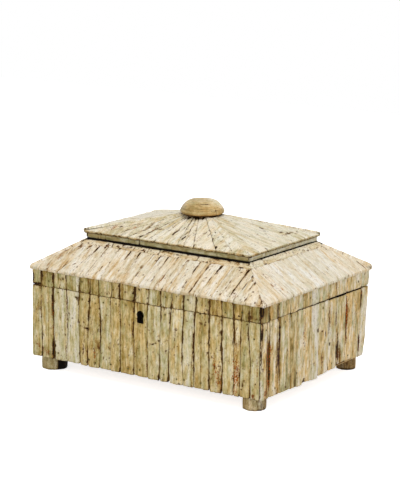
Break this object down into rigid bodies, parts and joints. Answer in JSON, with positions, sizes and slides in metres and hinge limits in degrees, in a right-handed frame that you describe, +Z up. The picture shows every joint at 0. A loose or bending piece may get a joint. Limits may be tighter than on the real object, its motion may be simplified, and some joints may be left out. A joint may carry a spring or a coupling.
{
  "type": "horn veneered casket",
  "caption": "Casket faced with sawn strips of stag antler, with a hipped lid that opens on back hinges, an antler knob and feet, and a box lock.",
  "frame": {"origin": "on the ground, in the middle of the four feet", "axes": "+X to the right along the longest side as seen from the front, +Y to the back where the hinges are, +Z up"},
  "size_m": [0.2956, 0.2203, 0.1853],
  "materials": {
    "antler_wall": "rough sawn stag antler, waxed, khaki tan",
    "antler_rail": "rough sawn stag antler, waxed, buff",
    "antler_roof": "rough sawn stag antler, waxed, pale cream",
    "antler_crown": "rough sawn stag antler, waxed, pale cream",
    "antler_border": "porous antler core, orange tan",
    "antler_neck": "antler, rubbed smooth, grey green",
    "antler_burr": "antler burr, rubbed smooth, ochre",
    "antler_foot": "antler section, rubbed, tan to dark brown",
    "ebonised_wood": "blackened, satin",
    "pine_carcass": "old pine, hand planed, waxed",
    "brass": "aged, dull",
    "steel": "filed iron, dull"
  },
  "bodies": {
    "box": {"base_board": "pine_carcass", "front_wall": "pine_carcass", "back_wall": "pine_carcass", "left_wall": "pine_carcass", "right_wall": "pine_carcass", "front_veneer": "antler_wall", "back_veneer": "antler_wall", "left_veneer": "antler_wall", "right_veneer": "antler_wall", "foot_front_left": "antler_foot", "foot_front_right": "antler_foot", "foot_back_left": "antler_foot", "foot_back_right": "antler_foot", "foot_screws": "steel", "lock_case": "brass", "lock_cap": "brass", "lock_pin": "steel", "bolt_spring": "steel", "lock_screws": "brass", "hinge_leaf_box_left": "brass", "hinge_leaf_box_right": "brass", "hinge_pin_left": "brass", "hinge_pin_right": "brass", "hinge_screws_box": "brass"},
    "bolt": {"lock_bolt": "steel"},
    "lid": {"rail_front": "pine_carcass", "rail_back": "pine_carcass", "rail_left": "pine_carcass", "rail_right": "pine_carcass", "slope_board_front": "pine_carcass", "slope_board_back": "pine_carcass", "slope_board_left": "pine_carcass", "slope_board_right": "pine_carcass", "top_board": "pine_carcass", "crown_block": "pine_carcass", "rail_veneer_front": "antler_rail", "rail_veneer_back": "antler_rail", "rail_veneer_left": "antler_rail", "rail_veneer_right": "antler_rail", "roof_veneer_front": "antler_roof", "roof_veneer_back": "antler_roof", "roof_veneer_left": "antler_roof", "roof_veneer_right": "antler_roof", "crown_veneer_front": "antler_crown", "crown_veneer_back": "antler_crown", "crown_veneer_left": "antler_crown", "crown_veneer_right": "antler_crown", "link_plate": "brass", "link_screws": "brass", "hinge_leaf_lid_left": "brass", "hinge_leaf_lid_right": "brass", "hinge_screws_lid": "brass", "knob_screw": "steel", "ledge_border": "antler_border", "neck_band": "antler_neck", "neck_fillet": "ebonised_wood", "knob": "antler_burr"}
  },
  "joints": [
    {"name": "lid_hinge", "type": "hinge", "parent": "box", "child": "lid", "pos_m": [0, 0.1073, 0.092], "axis": [-1, 0, 0], "range_deg": [0, 95]},
    {"name": "lock_bolt_slide", "type": "slide", "parent": "box", "child": "bolt", "axis": [1, 0, 0], "range_m": [0, 0.005]}
  ]
}
